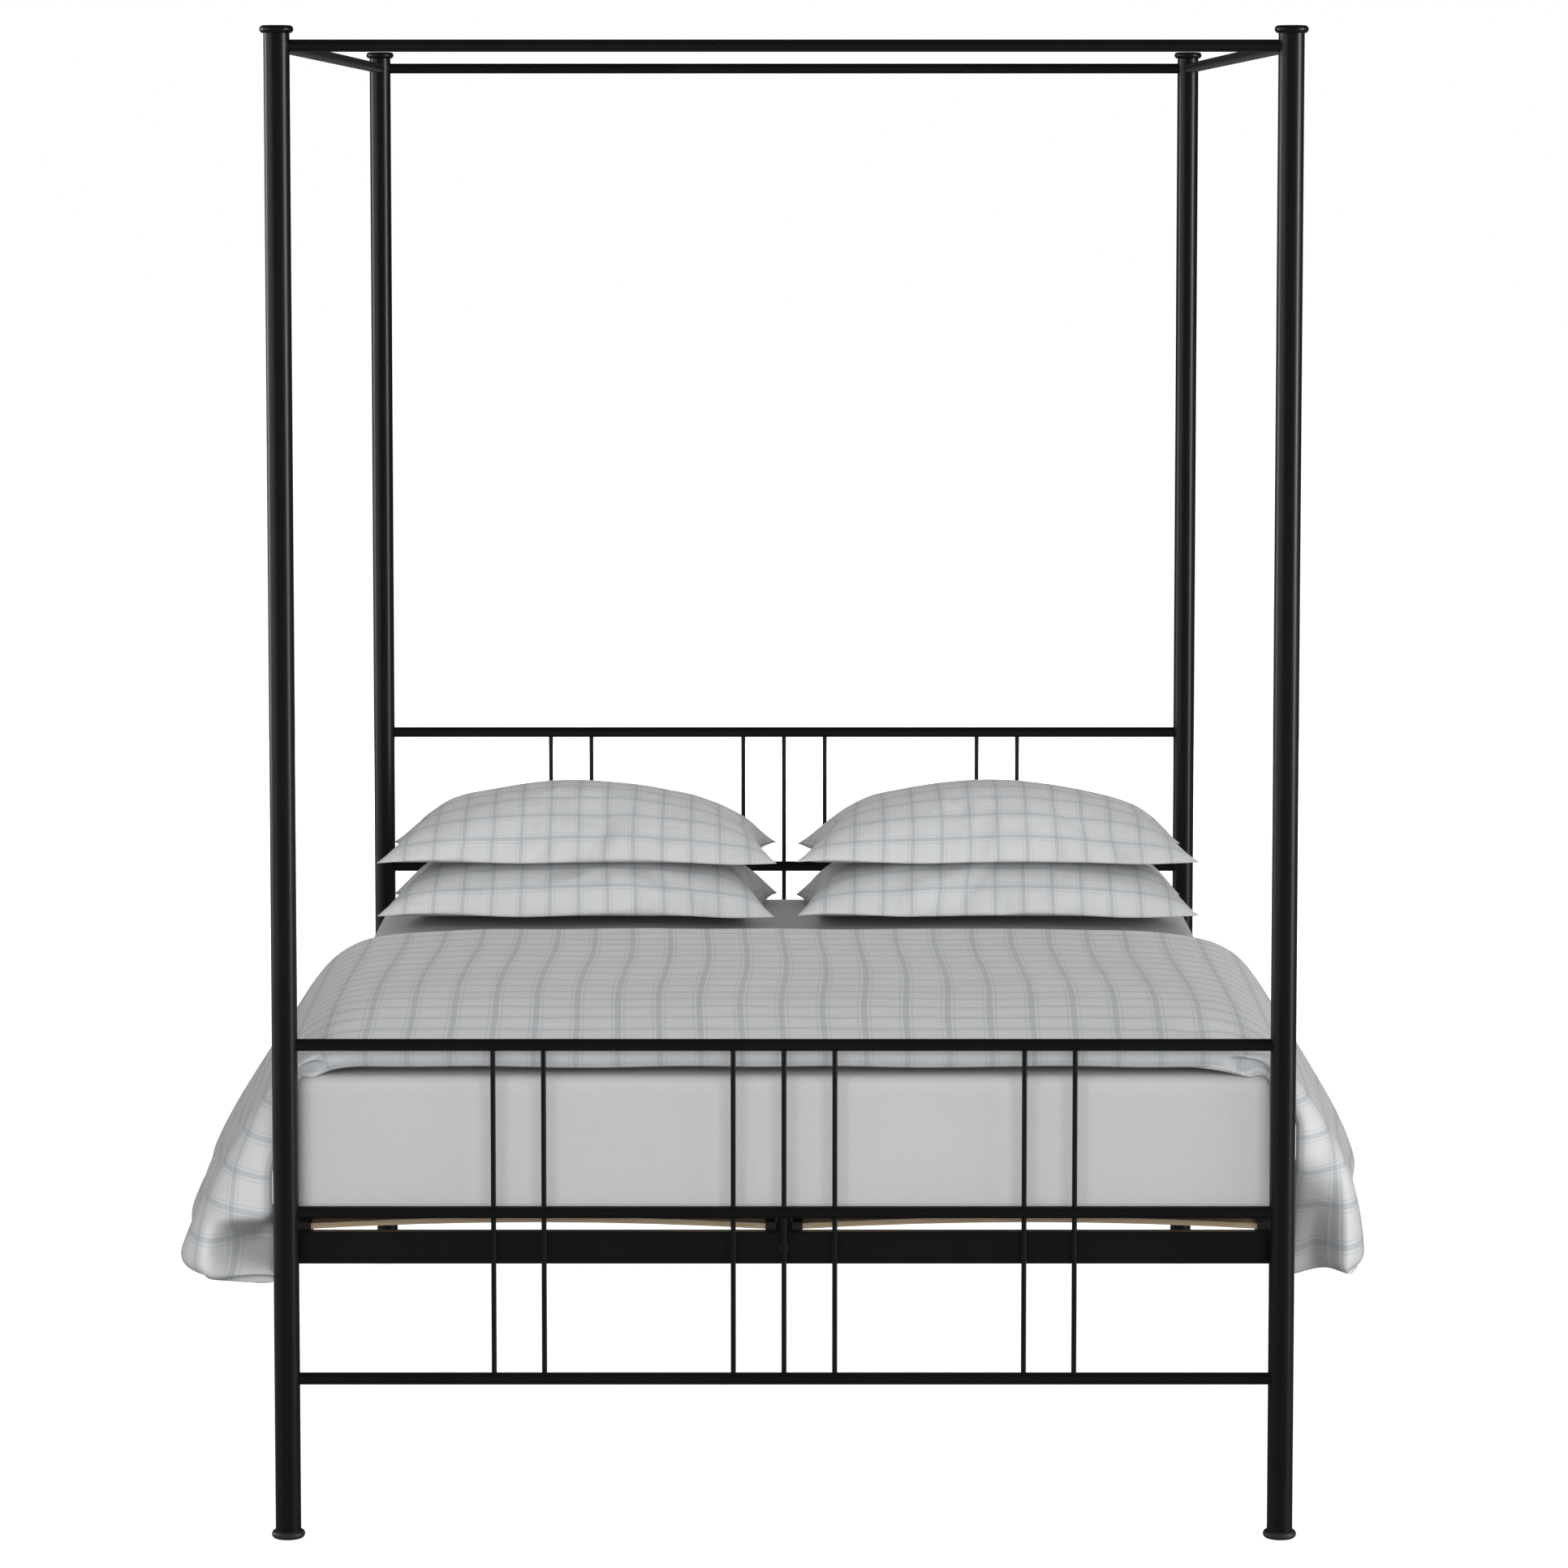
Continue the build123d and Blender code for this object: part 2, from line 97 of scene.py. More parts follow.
# %% [markdown]
# ## Room: white sweep and soft light
# A studio has a white floor that runs up into a white wall, and large soft lamps. Here the world is an even
# soft light whose visible side is white, and the floor glows a little of its own, so that it meets the wall
# without a line and keeps only a faint shadow under the bed. The steel sees a darker room than the cloth does,
# as when black cards are put up round a shiny thing. Black steel shows hardly any colour: it shows what it
# reflects. So some lamps light only reflections: a tall bright strip on the right draws the thin line of
# light down each round post, and two dimmer ones on the left make the softer edge. The others light only
# cloth and wood: a large one in front, one on the right and one behind.

# %% World
WORLD_LIGHT = 0.39
WORLD_GLOSS = 0.06
WORLD_WHITE = 1.0

world = bpy.data.worlds.new("studio")
scene.world = world
world.use_nodes = True
sky = world.node_tree
sky.nodes.clear()
light_path = sky.nodes.new("ShaderNodeLightPath")


def backdrop(strength):
    glow = sky.nodes.new("ShaderNodeBackground")
    glow.inputs["Color"].default_value = (1, 1, 1, 1)
    glow.inputs["Strength"].default_value = strength
    return glow.outputs[0]


def swap(ray, usual, special):
    """The usual backdrop, but another one for one kind of ray."""
    mix = sky.nodes.new("ShaderNodeMixShader")
    for socket, source in zip(mix.inputs, (light_path.outputs[ray], usual, special)):
        sky.links.new(source, socket)
    return mix.outputs[0]


mirrored = swap("Is Glossy Ray", backdrop(WORLD_LIGHT), backdrop(WORLD_GLOSS))
surround = swap("Is Camera Ray", mirrored, backdrop(WORLD_WHITE))
sky.links.new(surround, sky.nodes.new("ShaderNodeOutputWorld").inputs["Surface"])
print("backdrop ready")

# %% Lamps
def lamp(name, azimuth, distance, height, size, power, aim=(0, 0, 1.1)):
    """A soft rectangular lamp, at an angle round the bed from the foot: positive angles stand on the right."""
    light = bpy.data.lights.new(name, "AREA")
    light.shape = "RECTANGLE"
    light.size, light.size_y = size
    light.energy = power
    stand = bpy.data.objects.new(name, light)
    scene.collection.objects.link(stand)
    turn = math.radians(azimuth)
    stand.location = (distance * math.sin(turn), -distance * math.cos(turn), height)
    stand.rotation_euler = (Vector(aim) - stand.location).to_track_quat("-Z", "Y").to_euler()
    stand.visible_camera = False
    return stand


lamp("right_strip", 68, 10.0, 2.4, (0.8, 5.0), 800).visible_diffuse = False
lamp("left_edge", -104, 9.0, 2.6, (2.5, 5.0), 420).visible_diffuse = False
lamp("left_bank", -62, 9.0, 2.4, (7.0, 5.0), 240).visible_diffuse = False
lamp("right_soft", 66, 9.0, 2.6, (7.0, 5.0), 230).visible_glossy = False
lamp("rear_fill", 180, 10.0, 3.2, (8.0, 5.0), 380).visible_glossy = False
lamp("front_fill", 0, 12.0, 3.6, (12.0, 5.0), 1090).visible_glossy = False

# %% [markdown]
# ## A way to write finishes as sums
# Every finish below is worked out by small sums on what Blender calls sockets: the height of a thread, the
# place of a stripe. Joining those by hand gives long lists of nodes and links. Here one class wraps a socket,
# so that `1 - mask * 0.2` adds the Math nodes for itself, and one method adds any other kind of node.

# %% Sockets that take part in sums
class Wire:
    """A socket in a finish. Sums with numbers or other wires add Math nodes."""

    def __init__(self, finish, socket):
        self.finish = finish
        self.socket = socket

    def math(self, operation, *values):
        return self.finish.add("ShaderNodeMath", {"operation": operation}, dict(enumerate(values)))

    def __add__(self, other):
        return self.math("ADD", self, other)

    def __sub__(self, other):
        return self.math("SUBTRACT", self, other)

    def __rsub__(self, other):
        return self.math("SUBTRACT", other, self)

    def __mul__(self, other):
        return self.math("MULTIPLY", self, other)

    def __truediv__(self, other):
        return self.math("DIVIDE", self, other)

    __radd__ = __add__
    __rmul__ = __mul__

    def wave(self):
        return self.math("SINE", self)

    def size(self):
        return self.math("ABSOLUTE", self)

    def part(self):
        return self.math("FRACT", self)

    def band(self, low, high):
        """0 below low, 1 above high, and smooth between."""
        smooth = {"interpolation_type": "SMOOTHSTEP"}
        return self.finish.add("ShaderNodeMapRange", smooth, {0: self, 1: low, 2: high})


class Finish:
    """A material on the Principled shader, and the one method that adds a node to it."""

    def __init__(self, name, **constants):
        self.material = bpy.data.materials.new(name)
        self.material.use_nodes = True
        self.tree = self.material.node_tree
        self.shader = self.tree.nodes["Principled BSDF"]
        self.set(**constants)

    def set(self, **values):
        for socket, value in values.items():
            self.feed(self.shader.inputs[socket.replace("_", " ")], value)

    def feed(self, socket, value):
        if isinstance(value, Wire):
            self.tree.links.new(value.socket, socket)
        else:
            socket.default_value = value

    def add(self, kind, settings, sockets, output=0):
        node = self.tree.nodes.new(kind)
        for name, value in settings.items():
            setattr(node, name, value)
        for key, value in sockets.items():
            self.feed(node.inputs[key], value)
        return Wire(self, node.outputs[output])

    def place(self):
        return self.add("ShaderNodeTexCoord", {}, {}, "Object")

    def cloth(self):
        """Where a point is on the flat cloth, across and along, in metres."""
        flat = self.add("ShaderNodeAttribute", {"attribute_name": "cloth"}, {}, "Vector")
        return self.across(flat), self.across(flat, "Y")

    def across(self, vector, axis="X"):
        return self.add("ShaderNodeSeparateXYZ", {}, {0: vector}, axis)

    def noise(self, scale, detail=2.0, vector=None):
        where = self.place() if vector is None else vector
        return self.add("ShaderNodeTexNoise", {}, {"Vector": where, "Scale": scale, "Detail": detail})

    def blend(self, share, first, second):
        """One colour turns into another as share goes from 0 to 1."""
        return self.add("ShaderNodeMix", {"data_type": "RGBA"}, {0: share, 6: first, 7: second}, 2)

    def relief(self, height, depth):
        """Small relief in the surface, height from 0 to 1 and depth in metres."""
        sockets = {"Strength": 1.0, "Distance": depth, "Height": height}
        self.set(Normal=self.add("ShaderNodeBump", {}, sockets, "Normal"))


# %% [markdown]
# ## Powder-coated steel
# The frame is sprayed with dry powder that melts into one smooth satin skin. Close up it has the faint
# dimpling called orange peel, and hands polish it a little where it is touched. It could be a car-paint
# shader with two layers, but powder coat is a single layer, so a dark base with a soft low reflection is
# enough, with the dimples as relief and the polish as a slow change of roughness.

# %% Finish for the frame
def steel_finish():
    finish = Finish("frame_black", Specular_IOR_Level=0.22)
    peel = finish.noise(420, 1.0)
    cloud = finish.noise(5, 2.0)
    finish.set(Base_Color=finish.blend(cloud, (0.0036, 0.0036, 0.0037, 1), (0.0050, 0.0050, 0.0051, 1)))
    finish.set(Roughness=0.30 + cloud * 0.10)
    finish.relief(peel, 0.00003)
    return finish.material


STEEL = steel_finish()
print("finish:", STEEL.name)

# %% [markdown]
# ## Bolts, plastic and plywood
# The bolts and brackets are steel blackened with zinc, a thin greyer film. The slat holders are moulded in
# black plastic with a fine spark texture. The slats are birch plywood glued in a curve, with long pale grain
# on the faces and darker plies along the edges. The grain could be drawn on each slat, but one noise stretched
# along the slat gives every slat its own figure for nothing.

# %% Finishes for the fittings and slats
def zinc_finish():
    finish = Finish("black_hardware", Specular_IOR_Level=0.45)
    film = finish.noise(60, 3.0)
    finish.set(Base_Color=finish.blend(film, (0.014, 0.014, 0.015, 1), (0.028, 0.027, 0.026, 1)))
    finish.set(Roughness=0.34 + film * 0.2, Metallic=0.3)
    return finish.material


def plastic_finish():
    finish = Finish("black_plastic", Specular_IOR_Level=0.4)
    spark = finish.noise(900, 1.0)
    finish.set(Base_Color=finish.blend(spark, (0.013, 0.013, 0.013, 1), (0.02, 0.02, 0.02, 1)))
    finish.set(Roughness=0.5 + spark * 0.12)
    finish.relief(spark, 0.00005)
    return finish.material


def plywood_finish():
    finish = Finish("slat_plywood", Specular_IOR_Level=0.3)
    stretch = finish.add("ShaderNodeMapping", {}, {"Vector": finish.place(), "Scale": (3.0, 60.0, 60.0)})
    grain = finish.noise(2.2, 5.0, stretch)
    pores = finish.noise(9.0, 2.0, stretch)
    plies = (finish.across(finish.place(), "Z") * 2500).wave() * 0.5 + 0.5
    side = finish.across(finish.add("ShaderNodeNewGeometry", {}, {}, "Normal"), "Y").size().band(0.6, 0.9)
    face = finish.blend(grain, (0.62, 0.50, 0.35, 1), (0.46, 0.35, 0.23, 1))
    flecked = finish.blend(pores.band(0.62, 0.72) * 0.4, face, (0.28, 0.19, 0.11, 1))
    finish.set(Base_Color=finish.blend(side * plies * 0.6, flecked, (0.22, 0.14, 0.08, 1)))
    finish.set(Roughness=0.48 + grain * 0.15)
    finish.relief(pores, 0.0001)
    return finish.material


ZINC, PLASTIC, PLYWOOD = zinc_finish(), plastic_finish(), plywood_finish()
print("finishes:", ZINC.name, PLASTIC.name, PLYWOOD.name)

# %% [markdown]
# ## Cotton with a woven check
# The duvet cover and the pillowcases are brushed cotton in a pale grey. Bundles of blue-grey yarn cross it
# both ways and make a large window check: a broad band, and beside it on each side a light line and a thin
# darker one. Where two bands cross, the colour doubles up. Each mesh carries those flat places with it, and
# the check bends as the cloth does.

# %% Finish for the checked cloth
# The broad band, the thin line and the pale line: how strong each is, and its yarn's colour.
YARNS = ((1.0, (0.31, 0.345, 0.375, 1)), (0.62, (0.36, 0.39, 0.41, 1)), (0.35, (0.66, 0.70, 0.73, 1)))


def stripes(wire, pitch, broad=0.074, line=0.149):
    """How far the check's yarns darken the cloth in one direction, from 0 to 1."""
    off = ((wire / pitch + 0.5).part() - 0.5).size()
    band = 1 - off.band(broad - 0.010, broad + 0.010)
    thin = 1 - (off - line).size().band(0.018, 0.034)
    pale = 1 - (off - 0.103).size().band(0.010, 0.024)
    return band, thin, pale


def check_finish(name, pitch, ground, depth, crumple):
    """ground is the cloth's own colour, depth the darkness of its broad band, crumple its creases' height."""
    finish = Finish(name, Specular_IOR_Level=0.18, Sheen_Weight=0.06, Sheen_Roughness=0.5)
    across, along = finish.cloth()
    threads = ((across * 2900).wave() * (along * 2900).wave()) * 0.5 + 0.5
    slub = finish.noise(38, 3.0)
    shade = finish.noise(5, 2.0)
    darker, lighter = (tuple(part * share for part in ground) + (1,) for share in (0.955, 1.045))
    colour = finish.blend(slub * 0.55 + shade * 0.45, darker, lighter)
    for direction in (across, along):
        for mask, (share, tint) in zip(stripes(direction, pitch), YARNS):
            colour = finish.blend(mask * (0.82 + slub * 0.36) * (depth * share), colour, tint)
    finish.set(Base_Color=colour, Roughness=0.82 + threads * 0.1)
    crease = 1 - ((finish.noise(10, 3.0) - 0.5).size() * 7).band(0, 1)
    finish.relief(threads * 0.1 + slub * 0.12 + crease * shade, crumple)
    return finish.material


DUVET_PITCH = 0.0658
PILLOW_PITCH = 0.0570
DUVET_COTTON = check_finish("duvet_check", DUVET_PITCH, (0.655, 0.66, 0.665), 0.40, 0.0011)
PILLOW_COTTON = check_finish("pillow_check", PILLOW_PITCH, (0.63, 0.635, 0.64), 0.40, 0.0026)
print("finishes:", DUVET_COTTON.name, PILLOW_COTTON.name)

# %% [markdown]
# ## Plain cotton and ticking
# The fitted sheet is plain grey cotton percale, smooth and matt. The mattress below it has a woven ticking
# with a quilted diamond, which shows only from underneath, between the slats. Both are cloth, so both get
# threads in relief and a slow cloudiness in the colour, and the quilting is real geometry on the mattress.

# %% Finishes for the sheet and the mattress
def sheet_finish():
    finish = Finish("sheet_cotton", Specular_IOR_Level=0.15, Sheen_Weight=0.05)
    place = finish.place()
    across, along, up = (finish.across(place, axis) for axis in "XYZ")
    threads = ((across * 3300).wave() + (along * 3300).wave() + (up * 3300).wave()) * 0.17 + 0.5
    cloud = finish.noise(3, 2.0)
    fine = finish.noise(55, 3.0)
    shade = finish.blend(cloud * 0.7 + fine * 0.3, (0.485, 0.485, 0.485, 1), (0.535, 0.535, 0.535, 1))
    finish.set(Base_Color=shade)
    finish.set(Roughness=0.84 + fine * 0.08)
    finish.relief(threads * 0.6 + fine * 0.4, 0.0002)
    return finish.material


def ticking_finish():
    finish = Finish("mattress_ticking", Specular_IOR_Level=0.2)
    place = finish.place()
    rib = ((finish.across(place) + finish.across(place, "Z")) * 900).wave() * 0.5 + 0.5
    fine = finish.noise(70, 3.0)
    shade = finish.blend(rib * 0.6 + fine * 0.4, (0.66, 0.66, 0.65, 1), (0.78, 0.78, 0.77, 1))
    finish.set(Base_Color=shade)
    finish.set(Roughness=0.8 + fine * 0.1)
    finish.relief(rib * 0.7 + fine * 0.3, 0.0003)
    return finish.material


SHEET_COTTON, TICKING = sheet_finish(), ticking_finish()
print("finishes:", SHEET_COTTON.name, TICKING.name)

# %% [markdown]
# ## Dress the steel in its finishes
# The CAD nodes keep their own meshes: they are exact, so nothing is remade. Each only gets its finish, and
# smooth shading across its curves while the real edges stay crisp.

# %% Finishes on the CAD nodes
SOFT_NODES = ("mattress", "fitted_sheet", "duvet", "pillow")
FITTINGS = ("canopy_studs", "side_rail_bolts", "angle_brackets", "bracket_bolts", "centre_rail_bolts")


def finish_for(name):
    if name in FITTINGS:
        return ZINC
    if name.startswith("slat_holders") or name.startswith("bottom_cap"):
        return PLASTIC
    return PLYWOOD if name.startswith("slats_") else STEEL


for name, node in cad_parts.items():
    if not name.startswith(SOFT_NODES):
        node.data.materials.clear()
        node.data.materials.append(finish_for(name))
        node.data.shade_smooth()
        node.data.set_sharp_from_angle(angle=math.radians(32))
print("CAD nodes with a finish:", sum(1 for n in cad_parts.values() if n.data.materials))

# %% [markdown]
# ## A mesh from rows of points
# Cloth is a sheet, so the simplest honest description of it is a grid of points. A padded thing is two such
# grids, a face and a lining, sewn together round their border. This helper sews any pair of grids, and keeps
# for every point where it was on the flat cloth.

# %% Sew two grids into one closed piece
def smooth_step(x, low, high):
    t = np.clip((x - low) / (high - low), 0, 1)
    return t * t * (3 - 2 * t)


def sewn(name, face, lining, flat):
    """face and lining are grids of points that share their border. flat is each point's place on the cloth."""
    rows, columns = face.shape[:2]
    number = np.arange(rows * columns).reshape(rows, columns)
    under = number.copy()
    inner_count = (rows - 2) * (columns - 2)
    under[1:-1, 1:-1] = rows * columns + np.arange(inner_count).reshape(rows - 2, columns - 2)
    points = np.concatenate([face.reshape(-1, 3), lining[1:-1, 1:-1].reshape(-1, 3)])

    def quads(ids, flip):
        corners = (ids[:-1, :-1], ids[:-1, 1:], ids[1:, 1:], ids[1:, :-1])
        return np.stack(corners[::-1] if flip else corners, axis=-1).reshape(-1, 4)

    faces = np.concatenate([quads(number, False), quads(under, True)])
    mesh = bpy.data.meshes.new(name)
    mesh.from_pydata(points.tolist(), [], faces.tolist())
    places = np.concatenate([flat.reshape(-1, 2), flat[1:-1, 1:-1].reshape(-1, 2)])
    mark = mesh.attributes.new("cloth", "FLOAT_VECTOR", "POINT")
    mark.data.foreach_set("vector", np.c_[places, np.zeros(len(places))].ravel())
    mesh.shade_smooth()
    piece = bpy.data.objects.new(name, mesh)
    scene.collection.objects.link(piece)
    return piece


def dress(piece, material, slot, body, *nodes):
    """Gives a soft piece its finish, the body it moves with and the CAD nodes it stands for. slot is not used.
    """
    piece.data.materials.append(material)
    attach(piece, body)
    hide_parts(*nodes)


# %% [markdown]
# ## Mattress
# A pocket-sprung mattress is a soft block with rounded edges. Its panels are quilted, so they swell between
# the stitching. It could be a box with bevelled edges, but then every corner would be as hard as the steel's.
# Here a fine grid of points on a box is pulled onto a rounded block, and then pressed outwards in shallow
# diamonds as quilting is. Only its underside shows once the sheet is on.

# %% Points on a rounded block
def block_points(half, corner, step):
    """A closed mesh of small squares on a block with rounded edges, centred on the origin."""
    shape = bmesh.new()
    for axis in range(3):
        u, v = [a for a in range(3) if a != axis]
        cells_u, cells_v = (max(4, round(2 * half[a] / step)) for a in (u, v))
        for side in (-1, 1):
            grid = []
            for i in range(cells_u + 1):
                row = []
                for j in range(cells_v + 1):
                    p = [0.0, 0.0, 0.0]
                    p[axis] = side * half[axis]
                    p[u] = half[u] * (2 * i / cells_u - 1)
                    p[v] = half[v] * (2 * j / cells_v - 1)
                    row.append(shape.verts.new(p))
                grid.append(row)
            for i in range(cells_u):
                for j in range(cells_v):
                    shape.faces.new((grid[i][j], grid[i + 1][j], grid[i + 1][j + 1], grid[i][j + 1]))
    bmesh.ops.remove_doubles(shape, verts=shape.verts, dist=1e-5)
    bmesh.ops.recalc_face_normals(shape, faces=shape.faces)
    half = Vector(half)
    for vert in shape.verts:
        core = Vector(max(-h + corner, min(h - corner, c)) for c, h in zip(vert.co, half))
        away = vert.co - core
        vert.co = core + away.normalized() * corner if away.length > 1e-9 else vert.co
    return shape


MATTRESS_CENTRE = (Vector(mattress_low) + Vector(mattress_high)) / 2
MATTRESS_HALF = (Vector(mattress_high) - Vector(mattress_low)) / 2
print("mattress centre:", tuple(round(c, 3) for c in MATTRESS_CENTRE))

# %% The quilted mattress
QUILT = 0.11
QUILT_DEPTH = 0.0035
POINT_STEP = 0.0135
UNDER_SHEET = 0.0015  # the mattress is this much smaller than its box on each side, to leave room for the sheet


def quilted_mattress():
    shape = block_points(MATTRESS_HALF - Vector((UNDER_SHEET,) * 3), CORNER, POINT_STEP)
    shape.normal_update()
    moved = []
    for vert in shape.verts:
        x, y, z = vert.co
        diamond = abs(math.sin(math.pi * (x + y) / QUILT) * math.sin(math.pi * (x - y) / QUILT))
        flatness = max(0.0, abs(vert.normal.z) - 0.8) / 0.2
        moved.append(vert.co - vert.normal * QUILT_DEPTH * (1 - diamond ** 0.5) * flatness)
    for vert, place in zip(shape.verts, moved):
        vert.co = place + MATTRESS_CENTRE
    mesh = bpy.data.meshes.new("sprung_mattress")
    shape.to_mesh(mesh)
    shape.free()
    mesh.shade_smooth()
    piece = bpy.data.objects.new("sprung_mattress", mesh)
    scene.collection.objects.link(piece)
    return piece


mattress = quilted_mattress()
dress(mattress, TICKING, "mattress_ticking", "mattress", "mattress")
print("mattress points:", len(mattress.data.vertices))

# %% [markdown]
# ## Fitted sheet
# A fitted sheet is one flat piece of cotton with its corners sewn and elastic round its hem. It is pulled
# over the mattress and grips underneath. Stretched cloth hardly folds: it is smooth over the top, with faint
# upright ripples where the elastic gathers it at the corners. So it is made from the same rounded block, just
# outside the mattress, left open below, with those ripples worked into its skirt.

# %% The sheet
SHEET_TUCK = 0.095
SHEET_GAP = 0.0012
RIPPLE = 0.0016


def stretched_sheet():
    shape = block_points(MATTRESS_HALF + Vector((SHEET_GAP,) * 3), CORNER, POINT_STEP)
    low = -MATTRESS_HALF.z - SHEET_GAP
    hidden = []
    for face in shape.faces:
        x, y, z = face.calc_center_median()
        if z < low + 0.001 and abs(x) < MATTRESS_HALF.x - SHEET_TUCK and abs(y) < MATTRESS_HALF.y - SHEET_TUCK:
            hidden.append(face)
    bmesh.ops.delete(shape, geom=hidden, context="FACES")
    shape.normal_update()
    for vert in shape.verts:
        x, y, z = vert.co
        corner = max(0.0, 1 - math.hypot(MATTRESS_HALF.x - abs(x), MATTRESS_HALF.y - abs(y)) / 0.34)
        drop = min(1.0, max(0.0, (MATTRESS_HALF.z * 0.6 - z) / (2 * MATTRESS_HALF.z)))
        run = x + y if x * y < 0 else x - y
        wave = 0.5 + 0.5 * math.sin(run * 2 * math.pi / 0.052 + 1.3 * math.sin(run * 9))
        slack = 0.5 + 0.5 * math.sin(run * 2 * math.pi / 0.41 + 2 * math.sin(z * 6))
        swell = corner * drop * RIPPLE * wave + drop * RIPPLE * 0.9 * slack
        vert.co = vert.co + vert.normal * swell * (1 - abs(vert.normal.z)) + MATTRESS_CENTRE
    mesh = bpy.data.meshes.new("cotton_fitted_sheet")
    shape.to_mesh(mesh)
    shape.free()
    mesh.shade_smooth()
    piece = bpy.data.objects.new("cotton_fitted_sheet", mesh)
    scene.collection.objects.link(piece)
    cloth = piece.modifiers.new("cloth thickness", "SOLIDIFY")
    cloth.thickness = 0.0006
    cloth.offset = -1
    return piece


sheet = stretched_sheet()
dress(sheet, SHEET_COTTON, "sheet_cotton", "mattress", "fitted_sheet")

# %% [markdown]
# ## Duvet
# A duvet is a bag of filling in a cotton cover. It lies thick and flat on the bed, thins out where it turns
# over the edge, and then hangs down each side at a slope, because it is too stiff to fold sharply. At the
# foot its edge is rolled and just overhangs the mattress, and on the sides that edge wraps round the corner
# behind the post. A cloth simulation would find some drape, but not this one, so the shape is built from the
# way it lies: a curve across the bed gives the turn-over and the drop, and a path in plan gives the corner.
# The face follows those, and the lining runs inside it at the depth of the filling.

# %% Its cut, and the curve across the bed
DUVET_FOOT = duvet_low[1]
DUVET_HEAD = duvet_high[1]
DUVET_RUN = DUVET_HEAD - DUVET_FOOT
DUVET_TOP = 0.8045
FOOT_FALL, FOOT_SLOPE = 0.027, 0.27
LEFT_CUT = 1.177
RIGHT_CUT = 1.160
# Each turn is a list of (metres across from the middle, slope in degrees).
LEFT_HEAD_TURN = (
    (0.45, 0), (0.60, 2.5), (0.68, 6), (0.72, 12), (0.77, 31), (0.82, 49), (0.87, 58), (1.0, 58), (1.08, 60),
    (LEFT_CUT, 68),
)
LEFT_FOOT_TURN = (
    (0.60, 0), (0.66, 3), (0.70, 12), (0.76, 35), (0.80, 50), (0.84, 57), (0.90, 60), (1.05, 63), (1.14, 69),
    (LEFT_CUT, 80),
)
RIGHT_HEAD_TURN = (
    (0.45, 0), (0.60, 2.5), (0.68, 6), (0.735, 12), (0.785, 32), (0.83, 53), (0.87, 57), (1.0, 58), (1.085, 64),
    (RIGHT_CUT, 76),
)
RIGHT_FOOT_TURN = (
    (0.60, 0), (0.66, 3), (0.70, 12), (0.76, 32), (0.80, 45), (0.84, 54), (0.90, 60), (1.0, 70), (1.08, 80),
    (RIGHT_CUT, 90),
)


def turned(head_turn, foot_turn, across, share):
    """How far out and down the curve across the bed has got, at each distance across and share of foot."""
    fine = np.linspace(0, 1.2, 481)
    head = np.interp(fine, *zip(*head_turn))
    foot = np.interp(fine, *zip(*foot_turn))
    slope = np.radians(head[None] * (1 - share[:, None]) + foot[None] * share[:, None])
    middle = (slope[:, 1:] + slope[:, :-1]) / 2

    def reached(part):
        rows = np.c_[np.zeros(len(share)), np.cumsum(part(middle), axis=1) * fine[1]]
        return np.array([np.interp(across, fine, row) for row in rows])

    return reached(np.cos), reached(np.sin)


print("duvet cut:", round(LEFT_CUT + RIGHT_CUT, 3), "by", round(DUVET_RUN, 3))

# %% Rows and columns that crowd together at the edges
def stops(low, high, step, rim):
    """Distances from low to high with fine steps near both ends, so that a rolled edge is round."""
    fine = rim * (1 - np.cos(np.linspace(0, np.pi / 2, 6)))
    middle = np.linspace(low + rim, high - rim, round((high - low - 2 * rim) / step))
    return np.concatenate([low + fine[:-1], middle, (high - fine[:-1])[::-1]])


ROLL = 0.022
ACROSS = stops(-LEFT_CUT, RIGHT_CUT, 0.0095, ROLL)
ALONG = stops(0, DUVET_RUN, 0.0095, ROLL)
print("duvet grid:", len(ALONG), "by", len(ACROSS))

# %% The face of the duvet
BESIDE_POST = 0.800  # the duvet's foot edge turns back just outside the post


def side_face(across, head_turn, foot_turn, wrap_from, wrap_to, corner_radius):
    """The face for one side, with across as plain distances from the middle."""
    share = 1 - smooth_step(ALONG, 0.12, 0.98)
    out, down = turned(head_turn, foot_turn, across, share)
    foot_out = out[:1]
    wrap = smooth_step(across, wrap_from, wrap_to)[None]
    radius = np.interp(across, (0.80, 1.10), corner_radius)[None] * wrap + 1e-6
    inward = np.maximum(0, foot_out - radius - BESIDE_POST) * wrap
    t = ALONG[:, None] + 0 * wrap
    arc = np.pi / 2 * radius
    turn = np.clip((t - inward) / radius, 0, np.pi / 2)
    x = out - radius * (1 - np.sin(turn)) - np.maximum(0, inward - t)
    y = DUVET_FOOT + radius * (1 - np.cos(turn)) + np.maximum(0, t - inward - arc)
    fall = FOOT_FALL * np.clip(1 - t / FOOT_SLOPE, 0, 1) ** 1.6
    z = DUVET_TOP - down - fall
    return x, y, z


def duvet_face():
    left = ACROSS < 0
    lx, ly, lz = side_face(-ACROSS[left], LEFT_HEAD_TURN, LEFT_FOOT_TURN, 0.72, 0.92, (0.045, 0.095))
    rx, ry, rz = side_face(ACROSS[~left], RIGHT_HEAD_TURN, RIGHT_FOOT_TURN, 0.69, 0.86, (0.030, 0.065))
    return np.stack([np.c_[-lx, rx], np.c_[ly, ry], np.c_[lz, rz]], axis=-1)


face = duvet_face()
print("duvet reaches:", face.reshape(-1, 3).min(0).round(3), face.reshape(-1, 3).max(0).round(3))

